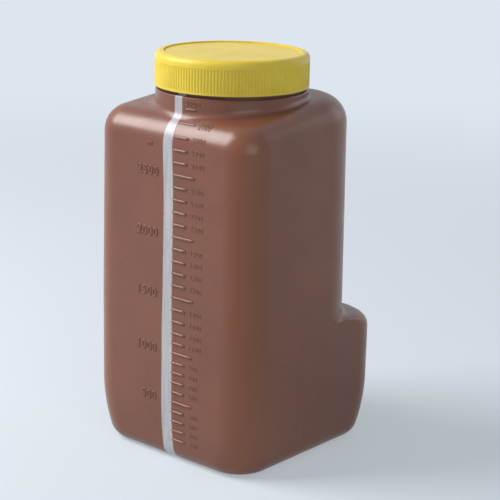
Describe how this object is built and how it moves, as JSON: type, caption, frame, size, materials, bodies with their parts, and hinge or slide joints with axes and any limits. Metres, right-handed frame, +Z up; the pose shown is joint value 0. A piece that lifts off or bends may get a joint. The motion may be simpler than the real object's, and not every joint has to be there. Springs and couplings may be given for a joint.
{
  "type": "specimen container",
  "caption": "Tall brown wide-mouth jug with rounded walls, a stepped foot at the rear, a graduated front with a view stripe, and a ribbed yellow screw cap",
  "frame": {"origin": "under the middle of the outside size, on the plane that the container stands on", "axes": "+Z up, -Y the graduated front, +Y the rear with the foot, +X to the right seen from the front"},
  "size_m": [0.129, 0.1322, 0.2466],
  "materials": {
    "brown_wall": "satin blow-moulded polyethylene, brown all through",
    "clear_stripe": "uncoloured polyethylene let into the brown wall, milky",
    "yellow_cap": "satin injection-moulded polypropylene",
    "white_liner": "soft white foamed sheet"
  },
  "bodies": {
    "container": {"container_body": "brown_wall", "view_stripe": "clear_stripe"},
    "liner": {"cap_liner": "white_liner"},
    "cap": {"screw_cap": "yellow_cap"}
  },
  "joints": [
    {"name": "cap_lift", "type": "slide", "parent": "container", "child": "liner", "axis": [0, 0, 1], "range_m": [0, 0.024]},
    {"name": "cap_turn", "type": "hinge", "parent": "liner", "child": "cap", "pos_m": [0, -0.00817, 0.2433], "axis": [0, 0, 1], "range_deg": [0, 1440]}
  ],
  "couplings": [
    {"joint": "cap_lift", "follows": "cap_turn", "m_per_rad": 0.00095492}
  ]
}
